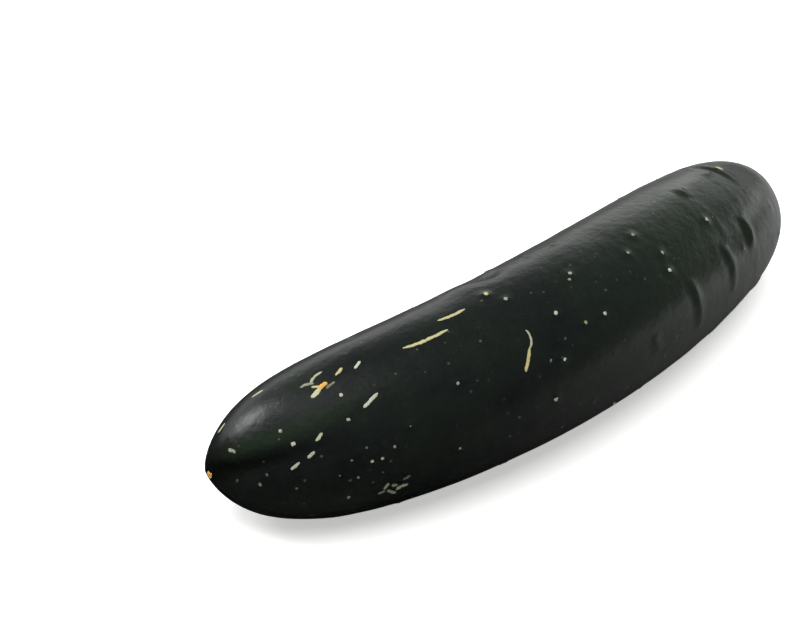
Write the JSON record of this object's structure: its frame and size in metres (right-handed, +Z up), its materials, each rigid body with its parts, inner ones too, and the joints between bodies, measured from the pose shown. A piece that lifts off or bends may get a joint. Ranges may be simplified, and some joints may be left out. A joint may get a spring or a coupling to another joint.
{
  "type": "cucumber",
  "caption": "Whole slicing cucumber lying on its belly, gently bent, with a corky blossom tip and a shallow stalk scar.",
  "frame": {"origin": "centre of the underside of the bounding box, on the surface that the fruit lies on", "axes": "+X along the chord from the blossom tip to the stem end, +Y towards the hollow side of the bend, +Z up"},
  "size_m": [0.2058, 0.06, 0.05],
  "materials": {
    "cucumber_skin": "very dark green waxed cucumber skin, satin gloss, with pale corky flecks",
    "corky_scar": "matt pale cork: warts, scratches, the blossom nub and the stalk scar"
  },
  "bodies": {
    "root": {"cucumber": "cucumber_skin"}
  },
  "joints": []
}
